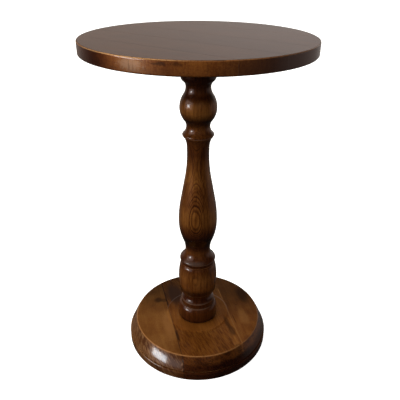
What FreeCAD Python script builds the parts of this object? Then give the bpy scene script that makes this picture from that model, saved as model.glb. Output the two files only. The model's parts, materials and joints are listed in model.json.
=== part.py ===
import FreeCAD, Part
import math
import os
import Sketcher

# Round pedestal table (gueridon), all solid wood: a round top of edge-glued boards, one turned column,
# and a round moulded base of edge-glued boards. Nothing on it moves.
# The origin is on the floor at the centre of the base, +Z is up, and the front of the table faces -Y.
# Lengths are in millimetres and angles in degrees.

SIZES = {
    # Table top. Its grain runs along Y, turned by the grain angle.
    "top_radius": 200.0,
    "top_thickness": 22.0,
    "top_arris_radius": 2.0,
    "top_grain_angle": 53.0,
    # Round mounting block between the column and the top
    "block_radius": 75.0,
    "block_thickness": 20.0,
    "block_edge_radius": 4.0,
    # Base. Its grain is turned as that of the top, and the members of its edge are inset from the plinth.
    "base_grain_angle": 14.0,
    "plinth_radius": 150.8,
    "plinth_side_height": 15.5,
    "plinth_foot_inset": 1.4,
    "plinth_foot_height": 1.6,
    "plinth_shoulder_inset": 2.1,
    "plinth_shoulder_height": 2.6,
    "undercut_inset": 4.2,
    "undercut_height": 0.4,
    "moulding_inset": 2.8,
    "moulding_lip_height": 1.0,
    "moulding_height": 29.1,
    "moulding_bow": 120.0,
    "rim_inset": 16.4,
    "rim_round_height": 0.9,
    "rim_round_width": 1.0,
    "plateau_radius": 66.0,
    "plateau_edge_width": 3.0,
    "plateau_height": 1.2,
    "foot_ring_width": 37.4,
    "underside_recess_slope": 3.0,
    "underside_recess_depth": 3.0,
    # Column, member by member from the foot up: a height above the member below, and a radius
    "foot_tenon_radius": 20.0,
    "mortise_depth": 30.0,
    "collar_radius": 41.3,
    "collar_height": 21.3,
    "collar_top_radius": 36.5,
    "collar_round_height": 12.0,
    "foot_quirk_height": 0.3,
    "foot_fillet_radius": 35.0,
    "foot_fillet_height": 10.6,
    "foot_neck_radius": 29.0,
    "foot_cove_height": 12.0,
    "foot_neck_height": 6.1,
    "barrel_bottom_radius": 30.6,
    "barrel_bottom_height": 0.5,
    "barrel_toe_radius": 37.8,
    "barrel_toe_height": 7.0,
    "barrel_radius": 40.5,
    "barrel_lower_height": 29.5,
    "barrel_brow_radius": 37.6,
    "barrel_upper_height": 31.0,
    "ring_quirk_radius": 34.4,
    "barrel_brow_height": 7.0,
    "ring_quirk_height": 2.6,
    "ring_fillet_radius": 35.4,
    "ring_radius": 37.2,
    "ring_height": 6.0,
    "ring_lip_height": 1.0,
    "ring_round": 5.5,
    "lower_neck_radius": 25.7,
    "ring_cove_height": 23.4,
    "lower_neck_round": 62.0,
    "belly_radius": 38.6,
    "belly_lower_height": 65.5,
    "belly_shoulder_radius": 33.8,
    "belly_upper_height": 50.5,
    "taper_top_radius": 26.7,
    "taper_height": 38.5,
    "waist_radius": 21.1,
    "waist_cove_height": 54.5,
    "waist_top_radius": 21.3,
    "waist_height": 14.0,
    "bead_cove_radius": 26.8,
    "bead_cove_height": 20.3,
    "bead_step_height": 0.2,
    "bead_fillet_radius": 27.9,
    "bead_fillet_height": 1.7,
    "bead_radius": 29.7,
    "bead_lower_height": 2.1,
    "bead_top_radius": 28.8,
    "bead_upper_height": 2.3,
    "middle_neck_radius": 22.1,
    "middle_cove_height": 14.4,
    "middle_neck_round": 16.0,
    "ball_radius": 34.2,
    "ball_lower_height": 34.0,
    "ball_round": 43.0,
    "upper_neck_radius": 22.8,
    "ball_upper_height": 37.5,
    "upper_neck_round": 12.6,
    "capital_radius": 31.8,
    "capital_cove_height": 18.0,
    "capital_height": 23.5,
    "head_tenon_radius": 16.0,
    # Wedge that spreads the head tenon in the mounting block
    "wedge_depth": 15.0,
    "wedge_top_width": 3.6,
    "wedge_foot_width": 1.2,
    # Coach screw and washer that draw the column down on the base
    "coach_screw_radius": 4.0,
    "coach_screw_length": 60.0,
    "coach_screw_point": 6.0,
    "coach_head_flats": 13.0,
    "coach_head_height": 5.5,
    "coach_hole_gap": 0.4,
    "washer_radius": 12.0,
    "washer_thickness": 1.6,
    "counterbore_gap": 3.0,
    "counterbore_depth": 12.5,
    # Wood screws that hold the mounting block to the top
    "wood_screw_radius": 2.0,
    "wood_screw_length": 30.0,
    "wood_screw_point": 5.0,
    "wood_screw_head_radius": 4.0,
    "wood_screw_head_height": 2.6,
    "wood_screw_circle_radius": 52.0,
    "wood_screw_slot_width": 1.0,
    "wood_screw_slot_depth": 0.9,
    # Dowels in the glue joints
    "top_dowel_radius": 4.0,
    "top_dowel_reach": 20.0,
    "base_dowel_radius": 5.0,
    "base_dowel_reach": 20.0,
    "base_dowel_level": 27.0,
    # Clearances: round pieces in their holes, and the ends of pieces in blind holes
    "glue_gap": 0.1,
    "end_gap": 0.3,
}

# Places of the glue joints from the centre, square to the grain, as shares of the disc's radius
TOP_JOINT_SHARES = (-0.61, -0.25, 0.15, 0.59)
BASE_JOINT_SHARES = (-0.403, 0.322, 0.437)
# How far from the middle of its glue joint a dowel lies, as a share of the disc's radius
DOWEL_PLACE_SHARE = 0.48
# How far a cutting shape runs past what it cuts, as a share of that thing's own size
OVERRUN_SHARE = 0.1
FULL_TURN = 360.0
HEXAGON_SIDES = 6
# The corner of a hexagon from its centre, as a share of the distance across its flats
HEXAGON_CORNER_SHARE = 1 / math.sqrt(3)
WOOD_SCREW_COUNT = 4


class Size:
    """A length or an angle, with the sheet expression that gives it."""

    def __init__(self, text, value):
        self.text = text
        self.value = value

    def __add__(self, other):
        return Size(f"({self.text} + {other.text})", self.value + other.value)

    def __sub__(self, other):
        return Size(f"({self.text} - {other.text})", self.value - other.value)

    def __mul__(self, share):
        return Size(f"({self.text} * {share})", self.value * share)

    def __neg__(self):
        return Size(f"(-{self.text})", -self.value)


ZERO = Size("0", 0.0)

doc = FreeCAD.newDocument("Gueridon")
sheet = doc.addObject("Spreadsheet::Sheet", "Sizes")
size = {}
for row, (name, value) in enumerate(SIZES.items(), start=1):
    sheet.set(f"A{row}", name)
    sheet.set(f"B{row}", str(value))
    sheet.setAlias(f"B{row}", name)
    size[name] = Size(f"Sizes.{name}", value)
doc.recompute()


def vector(across, level):
    return FreeCAD.Vector(across, level, 0)


def bind(thing, **properties):
    """Tie properties of an object to the sheet."""
    for name, amount in properties.items():
        thing.setExpression(name, amount.text)


def place(thing, level=ZERO, across=ZERO, along=ZERO, turn=ZERO):
    """Stand an object at a level, moved across and along, and turned about the vertical."""
    thing.Placement = FreeCAD.Placement(
        FreeCAD.Vector(across.value, along.value, level.value),
        FreeCAD.Rotation(FreeCAD.Vector(0, 0, 1), turn.value),
    )
    thing.setExpression("Placement.Base.x", across.text)
    thing.setExpression("Placement.Base.y", along.text)
    thing.setExpression("Placement.Base.z", level.text)
    if turn is not ZERO:
        thing.setExpression("Placement.Rotation.Angle", turn.text)


# Outlines of turned pieces


class Corner:
    """A corner of a turned outline, and the kind of edge that leads from it to the next corner.

    line      a straight edge
    lower     an arc that stands upright at this corner
    upper     an arc that stands upright at the next corner
    after     an arc that carries on from the edge before it
    before    an arc that runs into the edge after it
    ogee      an S of two arcs, upright at both corners, the first with the radius bend
    bowed     an arc that swells outwards with the radius bend
    """

    def __init__(self, radius, level, edge="line", bend=None):
        self.radius = radius
        self.level = level
        self.edge = edge
        self.bend = bend

    def point(self):
        return vector(self.radius.value, self.level.value)


def tangent_at(point, centre, heading):
    """Direction of an arc at one of its points, the way that goes along with heading."""
    arm = point - centre
    tangent = vector(-arm.y, arm.x).normalize()
    return tangent if tangent.dot(heading) > 0 else -tangent


def centre_through(fixed, tangent, other):
    """Centre of the arc that leaves fixed along tangent and goes through other."""
    normal = vector(-tangent.y, tangent.x)
    chord = other - fixed
    return fixed + normal * (chord.dot(chord) / (2 * chord.dot(normal)))


def arc_between(start, end, centre, start_tangent):
    """Arc geometry from start to end, and the numbers of its start and end points in a sketch."""
    turns_left = start_tangent.cross(centre - start).z > 0
    first, last = (start, end) if turns_left else (end, start)
    spoke = [point - centre for point in (first, last)]
    angles = [math.atan2(arm.y, arm.x) for arm in spoke]
    circle = Part.Circle(centre, FreeCAD.Vector(0, 0, 1), spoke[0].Length)
    return Part.ArcOfCircle(circle, *angles), ((1, 2) if turns_left else (2, 1))


def edge_tangent_at(corners, index, at_end):
    """Direction of travel of a line, lower or upper edge at its start or its end."""
    corner = corners[index]
    start = corner.point()
    end = corners[(index + 1) % len(corners)].point()
    if corner.edge == "line":
        return (end - start).normalize()
    upright = vector(0, math.copysign(1, end.y - start.y))
    fixed, other = (start, end) if corner.edge == "lower" else (end, start)
    if at_end == (corner.edge == "upper"):
        return upright
    return tangent_at(other, centre_through(fixed, upright, other), end - start)


def arc_parts(corners, index):
    """Each arc of a curved edge as (start, end, centre, tangent at its start)."""
    corner = corners[index]
    start = corner.point()
    end = corners[(index + 1) % len(corners)].point()
    upright = vector(0, math.copysign(1, end.y - start.y))
    if corner.edge == "lower":
        return [(start, end, centre_through(start, upright, end), upright)]
    if corner.edge == "after":
        tangent = edge_tangent_at(corners, index - 1, at_end=True)
        return [(start, end, centre_through(start, tangent, end), tangent)]
    if corner.edge in ("upper", "before"):
        last = upright
        if corner.edge == "before":
            last = edge_tangent_at(corners, (index + 1) % len(corners), at_end=False)
        centre = centre_through(end, last, start)
        return [(start, end, centre, tangent_at(start, centre, end - start))]
    chord = end - start
    radius = corner.bend.value
    if corner.edge == "bowed":
        inward = vector(-chord.y, chord.x).normalize()
        centre = start + chord * 0.5 + inward * math.sqrt(radius**2 - chord.Length**2 / 4)
        return [(start, end, centre, tangent_at(start, centre, chord))]
    both_radii = chord.dot(chord) / (2 * abs(chord.x))
    turn = start + chord * (radius / both_radii)
    outward = math.copysign(1, chord.x)
    first_centre = start + vector(outward * radius, 0)
    last_centre = end - vector(outward * (both_radii - radius), 0)
    return [
        (start, turn, first_centre, upright),
        (turn, end, last_centre, tangent_at(turn, first_centre, chord)),
    ]


def draw_outline(sketch, corners):
    """Draw a closed outline with every corner and every round tied to the sheet."""
    pieces = []
    for index, corner in enumerate(corners):
        if corner.edge == "line":
            end = corners[(index + 1) % len(corners)].point()
            pieces.append((sketch.addGeometry(Part.LineSegment(corner.point(), end)), 1, 2, index))
            continue
        for part in arc_parts(corners, index):
            arc, (first, last) = arc_between(*part)
            pieces.append((sketch.addGeometry(arc), first, last, index))

    limits = []
    bound = []
    for place_in_row, (piece, first, last, index) in enumerate(pieces):
        next_piece, next_first, _, next_index = pieces[(place_in_row + 1) % len(pieces)]
        edge = corners[index].edge
        inside_ogee = index == next_index
        smooth = inside_ogee or edge == "before" or corners[next_index].edge == "after"
        kind = "Tangent" if smooth else "Coincident"
        limits.append(Sketcher.Constraint(kind, piece, last, next_piece, next_first))
        upright_first = edge == "lower" or (edge == "ogee" and inside_ogee)
        upright_last = edge == "upper" or (edge == "ogee" and not inside_ogee)
        if upright_first:
            limits.append(Sketcher.Constraint("Horizontal", piece, 3, piece, first))
        if upright_last:
            limits.append(Sketcher.Constraint("Horizontal", piece, 3, piece, last))
        if edge == "bowed" or (edge == "ogee" and inside_ogee):
            limits.append(Sketcher.Constraint("Radius", piece, corners[index].bend.value))
            bound.append((len(limits) - 1, corners[index].bend))
        if pieces[place_in_row - 1][3] == index and edge == "ogee":
            continue
        for kind, amount, axis in (
            ("DistanceX", corners[index].radius, -2),
            ("DistanceY", corners[index].level, -1),
        ):
            if amount is ZERO:
                limits.append(Sketcher.Constraint("PointOnObject", piece, first, axis))
            else:
                limits.append(Sketcher.Constraint(kind, -1, 1, piece, first, amount.value))
                bound.append((len(limits) - 1, amount))
    sketch.addConstraint(limits)
    for number, amount in bound:
        sketch.setExpression(f"Constraints[{number}]", amount.text)


def origin_plane(body, role):
    return next(plane for plane in body.Origin.OriginFeatures if plane.Role == role)


def add_sketch(body, name, role="XZ_Plane"):
    sketch = body.newObject("Sketcher::SketchObject", name)
    sketch.AttachmentSupport = [(origin_plane(body, role), "")]
    sketch.MapMode = "FlatFace"
    return sketch


def turned_body(name, corners):
    """A body turned about the vertical from one closed outline."""
    body = doc.addObject("PartDesign::Body", name)
    body.Label = name
    sketch = add_sketch(body, f"{name}_outline")
    draw_outline(sketch, corners)
    turned = body.newObject("PartDesign::Revolution", f"{name}_turned")
    turned.Profile = sketch
    turned.ReferenceAxis = (sketch, ["V_Axis"])
    turned.Angle = FULL_TURN
    return body


def stack(level, *heights):
    """The level that heights reach when they stand on a level."""
    for height in heights:
        level = level + size[height]
    return level


# Levels above the floor, and the hole of the coach screw

base_rim_level = stack(
    ZERO, "plinth_side_height", "plinth_shoulder_height", "undercut_height", "moulding_lip_height",
    "moulding_height", "rim_round_height",
)
column_seat_level = base_rim_level + size["plateau_height"]
mortise_floor_level = column_seat_level - size["mortise_depth"]
foot_tenon_length = size["mortise_depth"] - size["end_gap"]
column_foot_level = mortise_floor_level + size["end_gap"]
coach_hole_radius = size["coach_screw_radius"] + size["coach_hole_gap"]


# Column


def column_corners():
    """Outline of the column from the pilot hole of the coach screw round to its point."""
    corners = []
    level = foot_tenon_length
    hole_radius = size["coach_screw_radius"] + size["glue_gap"]

    def member(height, radius, edge="line", bend=None):
        nonlocal level
        level = level + size[height] if height else level
        corners.append(Corner(size[radius], level, edge, size[bend] if bend else None))

    corners.append(Corner(hole_radius, ZERO))
    corners.append(Corner(size["foot_tenon_radius"], ZERO))
    member(None, "foot_tenon_radius")
    member(None, "collar_radius")
    member("collar_height", "collar_radius", "lower")
    member("collar_round_height", "collar_top_radius")
    member("foot_quirk_height", "foot_fillet_radius")
    member("foot_fillet_height", "foot_fillet_radius", "upper")
    member("foot_cove_height", "foot_neck_radius")
    member("foot_neck_height", "foot_neck_radius")
    member("barrel_bottom_height", "barrel_bottom_radius", "before")
    member("barrel_toe_height", "barrel_toe_radius", "upper")
    member("barrel_lower_height", "barrel_radius", "lower")
    member("barrel_upper_height", "barrel_brow_radius", "after")
    member("barrel_brow_height", "ring_quirk_radius")
    member("ring_quirk_height", "ring_fillet_radius")
    member("ring_height", "ring_fillet_radius")
    member("ring_lip_height", "ring_radius", "ogee", "ring_round")
    member("ring_cove_height", "lower_neck_radius", "ogee", "lower_neck_round")
    member("belly_lower_height", "belly_radius", "lower")
    member("belly_upper_height", "belly_shoulder_radius")
    member("taper_height", "taper_top_radius", "upper")
    member("waist_cove_height", "waist_radius")
    member("waist_height", "waist_top_radius", "lower")
    member("bead_cove_height", "bead_cove_radius")
    member("bead_step_height", "bead_fillet_radius")
    member("bead_fillet_height", "bead_fillet_radius", "upper")
    member("bead_lower_height", "bead_radius", "lower")
    member("bead_upper_height", "bead_top_radius", "upper")
    member("middle_cove_height", "middle_neck_radius", "ogee", "middle_neck_round")
    member("ball_lower_height", "ball_radius", "ogee", "ball_round")
    member("ball_upper_height", "upper_neck_radius", "ogee", "upper_neck_round")
    member("capital_cove_height", "capital_radius")
    member("capital_height", "capital_radius")
    member(None, "head_tenon_radius")
    shoulder = level
    member("block_thickness", "head_tenon_radius")
    corners.append(Corner(ZERO, level))
    screw_in_column = (
        size["coach_screw_length"] + size["end_gap"] + size["counterbore_depth"] - size["washer_thickness"]
        - column_foot_level
    )
    corners.append(Corner(ZERO, screw_in_column))
    corners.append(Corner(hole_radius, screw_in_column - size["coach_screw_point"]))
    return corners, shoulder


column_outline, head_shoulder = column_corners()
block_level = column_foot_level + head_shoulder
top_level = block_level + size["block_thickness"]


def wedge_outline(sketch, gap):
    """A wedge seen from its side, its thick end up, with a gap all round in its kerf."""
    high = head_shoulder + size["block_thickness"]
    low = high - size["wedge_depth"] - gap
    corners = [
        (-(size["wedge_foot_width"] * 0.5 + gap), low),
        (size["wedge_foot_width"] * 0.5 + gap, low),
        (size["wedge_top_width"] * 0.5 + gap, high),
        (-(size["wedge_top_width"] * 0.5 + gap), high),
    ]
    points = [vector(across.value, level.value) for across, level in corners]
    for start, end in zip(points, points[1:] + points[:1]):
        sketch.addGeometry(Part.LineSegment(start, end))
    for line in range(len(corners)):
        sketch.addConstraint(Sketcher.Constraint("Coincident", line, 2, (line + 1) % len(corners), 1))
    for line, (across, level) in enumerate(corners):
        number = sketch.addConstraint(Sketcher.Constraint("DistanceY", -1, 1, line, 1, level.value))
        sketch.setExpression(f"Constraints[{number}]", level.text)
        if across.value < 0:
            number = sketch.addConstraint(Sketcher.Constraint("DistanceX", line, 1, -1, 1, -across.value))
            across = -across
        else:
            number = sketch.addConstraint(Sketcher.Constraint("DistanceX", -1, 1, line, 1, across.value))
        sketch.setExpression(f"Constraints[{number}]", across.text)


def build_column():
    column = turned_body("column", column_outline)
    kerf_sketch = add_sketch(column, "wedge_kerf_outline")
    wedge_outline(kerf_sketch, size["glue_gap"])
    kerf = column.newObject("PartDesign::Pocket", "wedge_kerf")
    kerf.Profile = kerf_sketch
    kerf.SideType = "Symmetric"
    kerf.Type = "Length"
    bind(kerf, Length=size["head_tenon_radius"] * (2 + OVERRUN_SHARE))
    place(column, level=column_foot_level)
    return column


def build_tenon_wedge():
    wedge = doc.addObject("PartDesign::Body", "tenon_wedge")
    wedge.Label = "tenon_wedge"
    sketch = add_sketch(wedge, "tenon_wedge_outline")
    wedge_outline(sketch, ZERO)
    pad = wedge.newObject("PartDesign::Pad", "tenon_wedge_length")
    pad.Profile = sketch
    pad.SideType = "Symmetric"
    bind(pad, Length=size["head_tenon_radius"] * 2 - size["wedge_top_width"])
    place(wedge, level=column_foot_level)
    return wedge


# Mounting block


def build_mounting_block(screw_holes):
    """Round block with a hole for the column's head tenon and countersunk holes for its wood screws."""
    hole_radius = size["head_tenon_radius"] + size["glue_gap"]
    turned = turned_body(
        "turned_block",
        [
            Corner(hole_radius, ZERO),
            Corner(size["block_radius"] - size["block_edge_radius"], ZERO, "upper"),
            Corner(size["block_radius"], size["block_edge_radius"]),
            Corner(size["block_radius"], size["block_thickness"]),
            Corner(hole_radius, size["block_thickness"]),
        ],
    )
    block = subtract("mounting_block", turned, [screw_holes])
    place(block, level=block_level, turn=size["top_grain_angle"])
    return block


# Fasteners


def fuse(name, shapes):
    fused = doc.addObject("Part::MultiFuse", name)
    fused.Shapes = shapes
    return fused


def gather(name, shapes):
    """Separate solids kept together as one piece list entry."""
    group = doc.addObject("Part::Compound", name)
    group.Links = shapes
    return group


def subtract(name, base, tools):
    cut = doc.addObject("Part::Cut", name)
    cut.Base = base
    cut.Tool = gather(f"{name}_cutters", tools) if len(tools) > 1 else tools[0]
    return cut


def wood_screw(name, gap, end_gap, slotted):
    """Countersunk wood screw, head down, with room round it and past its point."""
    head = doc.addObject("Part::Cone", f"{name}_head")
    bind(
        head,
        Radius1=size["wood_screw_head_radius"] + gap,
        Radius2=size["wood_screw_radius"] + gap,
        Height=size["wood_screw_head_height"],
    )
    shank_length = size["wood_screw_length"] - size["wood_screw_point"]
    shank = doc.addObject("Part::Cylinder", f"{name}_shank")
    bind(shank, Radius=size["wood_screw_radius"] + gap, Height=shank_length)
    point = doc.addObject("Part::Cone", f"{name}_point")
    bind(point, Radius1=size["wood_screw_radius"] + gap, Height=size["wood_screw_point"] + end_gap)
    point.Radius2 = 0
    place(point, level=shank_length)
    whole = fuse(f"{name}_whole", [head, shank, point])
    if not slotted:
        return whole
    slot = doc.addObject("Part::Box", f"{name}_slot")
    bind(
        slot,
        Length=size["wood_screw_head_radius"] * 2,
        Width=size["wood_screw_slot_width"],
        Height=size["wood_screw_slot_depth"],
    )
    place(slot, across=-size["wood_screw_head_radius"], along=-(size["wood_screw_slot_width"] * 0.5))
    return subtract(f"{name}_slotted", whole, [slot])


def wood_screw_ring(name, gap, end_gap, slotted):
    screws = []
    for number in range(WOOD_SCREW_COUNT):
        screw = wood_screw(f"{name}_{number + 1}", gap, end_gap, slotted)
        bearing = math.tau * (number + 0.5) / WOOD_SCREW_COUNT
        circle = size["wood_screw_circle_radius"]
        place(screw, across=circle * math.cos(bearing), along=circle * math.sin(bearing))
        screws.append(screw)
    return gather(name, screws)


def build_coach_screw():
    """Hexagon-headed wood screw that goes up through the washer and the base into the column."""
    head = doc.addObject("Part::Prism", "coach_screw_head")
    head.Polygon = HEXAGON_SIDES
    bind(head, Circumradius=size["coach_head_flats"] * HEXAGON_CORNER_SHARE, Height=size["coach_head_height"])
    shank = doc.addObject("Part::Cylinder", "coach_screw_shank")
    shank_height = size["coach_head_height"] + size["coach_screw_length"] - size["coach_screw_point"]
    bind(shank, Radius=size["coach_screw_radius"], Height=shank_height)
    point = doc.addObject("Part::Cone", "coach_screw_tip")
    bind(point, Radius1=size["coach_screw_radius"], Height=size["coach_screw_point"])
    point.Radius2 = 0
    place(point, level=shank_height)
    screw = fuse("coach_screw", [head, shank, point])
    place(screw, level=washer_level - size["coach_head_height"])
    return screw


def build_washer():
    washer = turned_body(
        "coach_screw_washer",
        [
            Corner(coach_hole_radius, ZERO),
            Corner(size["washer_radius"], ZERO),
            Corner(size["washer_radius"], size["washer_thickness"]),
            Corner(coach_hole_radius, size["washer_thickness"]),
        ],
    )
    place(washer, level=washer_level)
    return washer


def dowel_group(name, spans, disc_radius, level, radius, reach, gap, end_gap):
    """Two dowels across each glue joint, or across each strip between two joints."""
    dowels = []
    for span, (low, high) in enumerate(spans, start=1):
        for side in (-1, 1):
            dowel = doc.addObject("Part::Cylinder", f"{name}_{span}_{'front' if side < 0 else 'back'}")
            bind(dowel, Radius=radius + gap, Height=high - low + (reach + end_gap) * 2)
            across = low - reach - end_gap
            along = disc_radius * (side * DOWEL_PLACE_SHARE)
            dowel.Placement = FreeCAD.Placement(
                FreeCAD.Vector(across.value, along.value, level.value),
                FreeCAD.Rotation(FreeCAD.Vector(0, 1, 0), FULL_TURN / 4),
            )
            dowel.setExpression("Placement.Base.x", across.text)
            dowel.setExpression("Placement.Base.y", along.text)
            dowel.setExpression("Placement.Base.z", level.text)
            dowels.append(dowel)
    return gather(name, dowels)


# Boards


def turned_blank(name, corners):
    """A turned disc that boards are cut from. Its outline stands in the plane along the grain."""
    sketch = doc.addObject("Sketcher::SketchObject", f"{name}_outline")
    sketch.Placement = FreeCAD.Placement(
        FreeCAD.Vector(0, 0, 0), FreeCAD.Rotation(FreeCAD.Vector(1, 1, 1), FULL_TURN / 3)
    )
    draw_outline(sketch, corners)
    blank = doc.addObject("Part::Revolution", name)
    blank.Source = sketch
    blank.Axis = FreeCAD.Vector(0, 0, 1)
    blank.Angle = FULL_TURN
    blank.Solid = True
    return blank


def edge_glued_boards(names, joints, blank, holes, radius, height, level, turn):
    """Boards cut from one turned disc along its glue joints, drilled, and laid side by side."""
    edge = radius * (1 + OVERRUN_SHARE)
    sides = [-edge, *joints, edge]
    boards = []
    for name, low, high in zip(names, sides, sides[1:]):
        plank = doc.addObject("Part::Box", f"{name}_plank")
        bind(plank, Length=high - low, Width=edge * 2, Height=height)
        place(plank, across=low, along=-edge)
        shaped = doc.addObject("Part::Common", f"{name}_shaped")
        shaped.Base = blank
        shaped.Tool = plank
        board = subtract(name, shaped, holes)
        place(board, level=level, turn=turn)
        boards.append(board)
    return boards


def base_corners():
    """Outline of the base from the coach screw's hole, under it to the plinth, and back over its top."""
    plinth_top = size["plinth_side_height"] + size["plinth_shoulder_height"]
    undercut_top = plinth_top + size["undercut_height"]
    lip_top = undercut_top + size["moulding_lip_height"]
    moulding_top = lip_top + size["moulding_height"]
    recess = size["underside_recess_depth"]
    plinth_radius = size["plinth_radius"]
    foot_radius = plinth_radius - size["plinth_foot_inset"]
    recess_radius = foot_radius - size["foot_ring_width"]
    rim_radius = plinth_radius - size["rim_inset"]
    counterbore_radius = size["washer_radius"] + size["counterbore_gap"]
    mortise_radius = size["foot_tenon_radius"] + size["glue_gap"]
    return [
        Corner(coach_hole_radius, mortise_floor_level),
        Corner(coach_hole_radius, size["counterbore_depth"]),
        Corner(counterbore_radius, size["counterbore_depth"]),
        Corner(counterbore_radius, recess),
        Corner(recess_radius - size["underside_recess_slope"], recess),
        Corner(recess_radius, ZERO),
        Corner(foot_radius, ZERO, "upper"),
        Corner(plinth_radius, size["plinth_foot_height"]),
        Corner(plinth_radius, size["plinth_side_height"], "lower"),
        Corner(plinth_radius - size["plinth_shoulder_inset"], plinth_top),
        Corner(plinth_radius - size["undercut_inset"], undercut_top),
        Corner(plinth_radius - size["moulding_inset"], lip_top, "bowed", size["moulding_bow"]),
        Corner(rim_radius + size["rim_round_width"] * 0.5, moulding_top),
        Corner(rim_radius - size["rim_round_width"], base_rim_level),
        Corner(size["plateau_radius"] + size["plateau_edge_width"], base_rim_level),
        Corner(size["plateau_radius"], column_seat_level),
        Corner(mortise_radius, column_seat_level),
        Corner(mortise_radius, mortise_floor_level),
    ]


def build_base():
    """Four boards of the base, with the mortise for the column, and the dowels between them."""
    blank = turned_blank("turned_base", base_corners())
    joints = [size["plinth_radius"] * share for share in BASE_JOINT_SHARES]
    spans = [(joints[0], joints[0]), (joints[1], joints[2])]

    def dowels(name, gap, end_gap):
        return dowel_group(
            name, spans, size["plinth_radius"], size["base_dowel_level"], size["base_dowel_radius"],
            size["base_dowel_reach"], gap, end_gap,
        )

    boards = edge_glued_boards(
        ["base_board_left", "base_board_centre", "base_board_strip", "base_board_right"],
        joints, blank, [dowels("base_dowel_holes", size["glue_gap"], size["end_gap"])],
        size["plinth_radius"], column_seat_level, ZERO, size["base_grain_angle"],
    )
    pins = dowels("base_dowels", ZERO, ZERO)
    place(pins, turn=size["base_grain_angle"])
    return [*boards, pins]


def build_top():
    """Five boards of the top and the dowels between them."""
    arris = size["top_arris_radius"]
    blank = turned_blank(
        "turned_top",
        [
            Corner(ZERO, ZERO),
            Corner(size["top_radius"] - arris, ZERO, "upper"),
            Corner(size["top_radius"], arris),
            Corner(size["top_radius"], size["top_thickness"] - arris, "lower"),
            Corner(size["top_radius"] - arris, size["top_thickness"]),
            Corner(ZERO, size["top_thickness"]),
        ],
    )
    joints = [size["top_radius"] * share for share in TOP_JOINT_SHARES]

    def dowels(name, gap, end_gap):
        return dowel_group(
            name, [(joint, joint) for joint in joints], size["top_radius"], size["top_thickness"] * 0.5,
            size["top_dowel_radius"], size["top_dowel_reach"], gap, end_gap,
        )

    screw_holes = wood_screw_ring("top_screw_holes", size["glue_gap"], size["end_gap"], slotted=False)
    place(screw_holes, level=-size["block_thickness"])
    boards = edge_glued_boards(
        [
            "top_board_front", "top_board_front_middle", "top_board_middle", "top_board_back_middle",
            "top_board_back",
        ],
        joints, blank, [dowels("top_dowel_holes", size["glue_gap"], size["end_gap"]), screw_holes],
        size["top_radius"], size["top_thickness"], top_level, size["top_grain_angle"],
    )
    pins = dowels("top_dowels", ZERO, ZERO)
    place(pins, level=top_level, turn=size["top_grain_angle"])
    return [*boards, pins]


# The whole table

washer_level = size["counterbore_depth"] - size["washer_thickness"]
block_screw_holes = wood_screw_ring("block_screw_holes", size["glue_gap"], size["end_gap"], slotted=False)
block_screws = wood_screw_ring("block_screws", ZERO, ZERO, slotted=True)
place(block_screws, level=block_level, turn=size["top_grain_angle"])

nodes = [
    *build_base(),
    build_column(),
    build_coach_screw(),
    build_washer(),
    build_tenon_wedge(),
    build_mounting_block(block_screw_holes),
    block_screws,
    *build_top(),
]
doc.recompute()

for thing in doc.Objects:
    if "Invalid" in thing.State or "Error" in thing.State:
        raise RuntimeError(f"{thing.Name} did not build: {thing.State}")
for node in nodes:
    if node.Shape.isNull() or not node.Shape.isValid() or node.Shape.Volume <= 0:
        raise RuntimeError(f"{node.Label} has no sound shape")

os.makedirs("parts", exist_ok=True)
for node in nodes:
    node.Shape.exportStep(f"parts/{node.Label}.step")
    box = node.Shape.optimalBoundingBox()
    print(f"{node.Label}: {len(node.Shape.Solids)} solids, {node.Shape.Volume:.0f} mm3,")
    print(f"    {box.XLength:.1f} x {box.YLength:.1f} x {box.ZLength:.1f} mm, from level {box.ZMin:.1f}")
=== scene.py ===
import json
import math

import bmesh
import bpy
from mathutils import Matrix, Vector

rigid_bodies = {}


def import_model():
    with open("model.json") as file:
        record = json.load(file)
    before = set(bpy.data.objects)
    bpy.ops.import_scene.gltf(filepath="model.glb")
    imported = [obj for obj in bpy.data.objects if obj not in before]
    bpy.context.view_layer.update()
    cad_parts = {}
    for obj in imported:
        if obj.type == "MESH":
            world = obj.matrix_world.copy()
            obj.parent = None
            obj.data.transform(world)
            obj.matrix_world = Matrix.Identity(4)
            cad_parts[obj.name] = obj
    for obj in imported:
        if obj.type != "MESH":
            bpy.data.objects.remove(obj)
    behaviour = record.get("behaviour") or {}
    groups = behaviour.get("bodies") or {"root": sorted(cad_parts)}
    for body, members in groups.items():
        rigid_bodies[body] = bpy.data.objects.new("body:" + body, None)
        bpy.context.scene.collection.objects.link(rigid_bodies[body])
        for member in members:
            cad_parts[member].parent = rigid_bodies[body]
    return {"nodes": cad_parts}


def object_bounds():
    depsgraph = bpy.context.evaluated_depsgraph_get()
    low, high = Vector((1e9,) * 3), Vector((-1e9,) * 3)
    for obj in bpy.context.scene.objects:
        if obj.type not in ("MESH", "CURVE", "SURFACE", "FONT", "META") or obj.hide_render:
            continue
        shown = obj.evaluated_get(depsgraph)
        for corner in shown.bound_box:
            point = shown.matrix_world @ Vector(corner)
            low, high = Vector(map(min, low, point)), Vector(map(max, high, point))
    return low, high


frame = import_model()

# Round pedestal table in dark stained, varnished wood. The pieces keep their solids, and this script
# gives them their wood, varnish and wear, with some shade and highlights painted into the colour, and
# sets up the floor, the light and the camera.
# Lengths are in metres, and a level is a height above the floor. An azimuth is counted from the +Y axis
# towards +X, as seen from above. A turn is an angle from the front, in degrees, positive to the right.

cad_low, cad_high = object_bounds()

# Camera
CAMERA_PLACE = Vector((0.0, -0.8223, 0.7645))
CAMERA_YAW = math.radians(0.28)
CAMERA_PITCH = math.radians(27.77)
CAMERA_ROLL = math.radians(-0.37)
FOCAL_PIXELS = 471.8
FRAME_PIXELS = 400
SENSOR_WIDTH = 36.0

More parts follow.
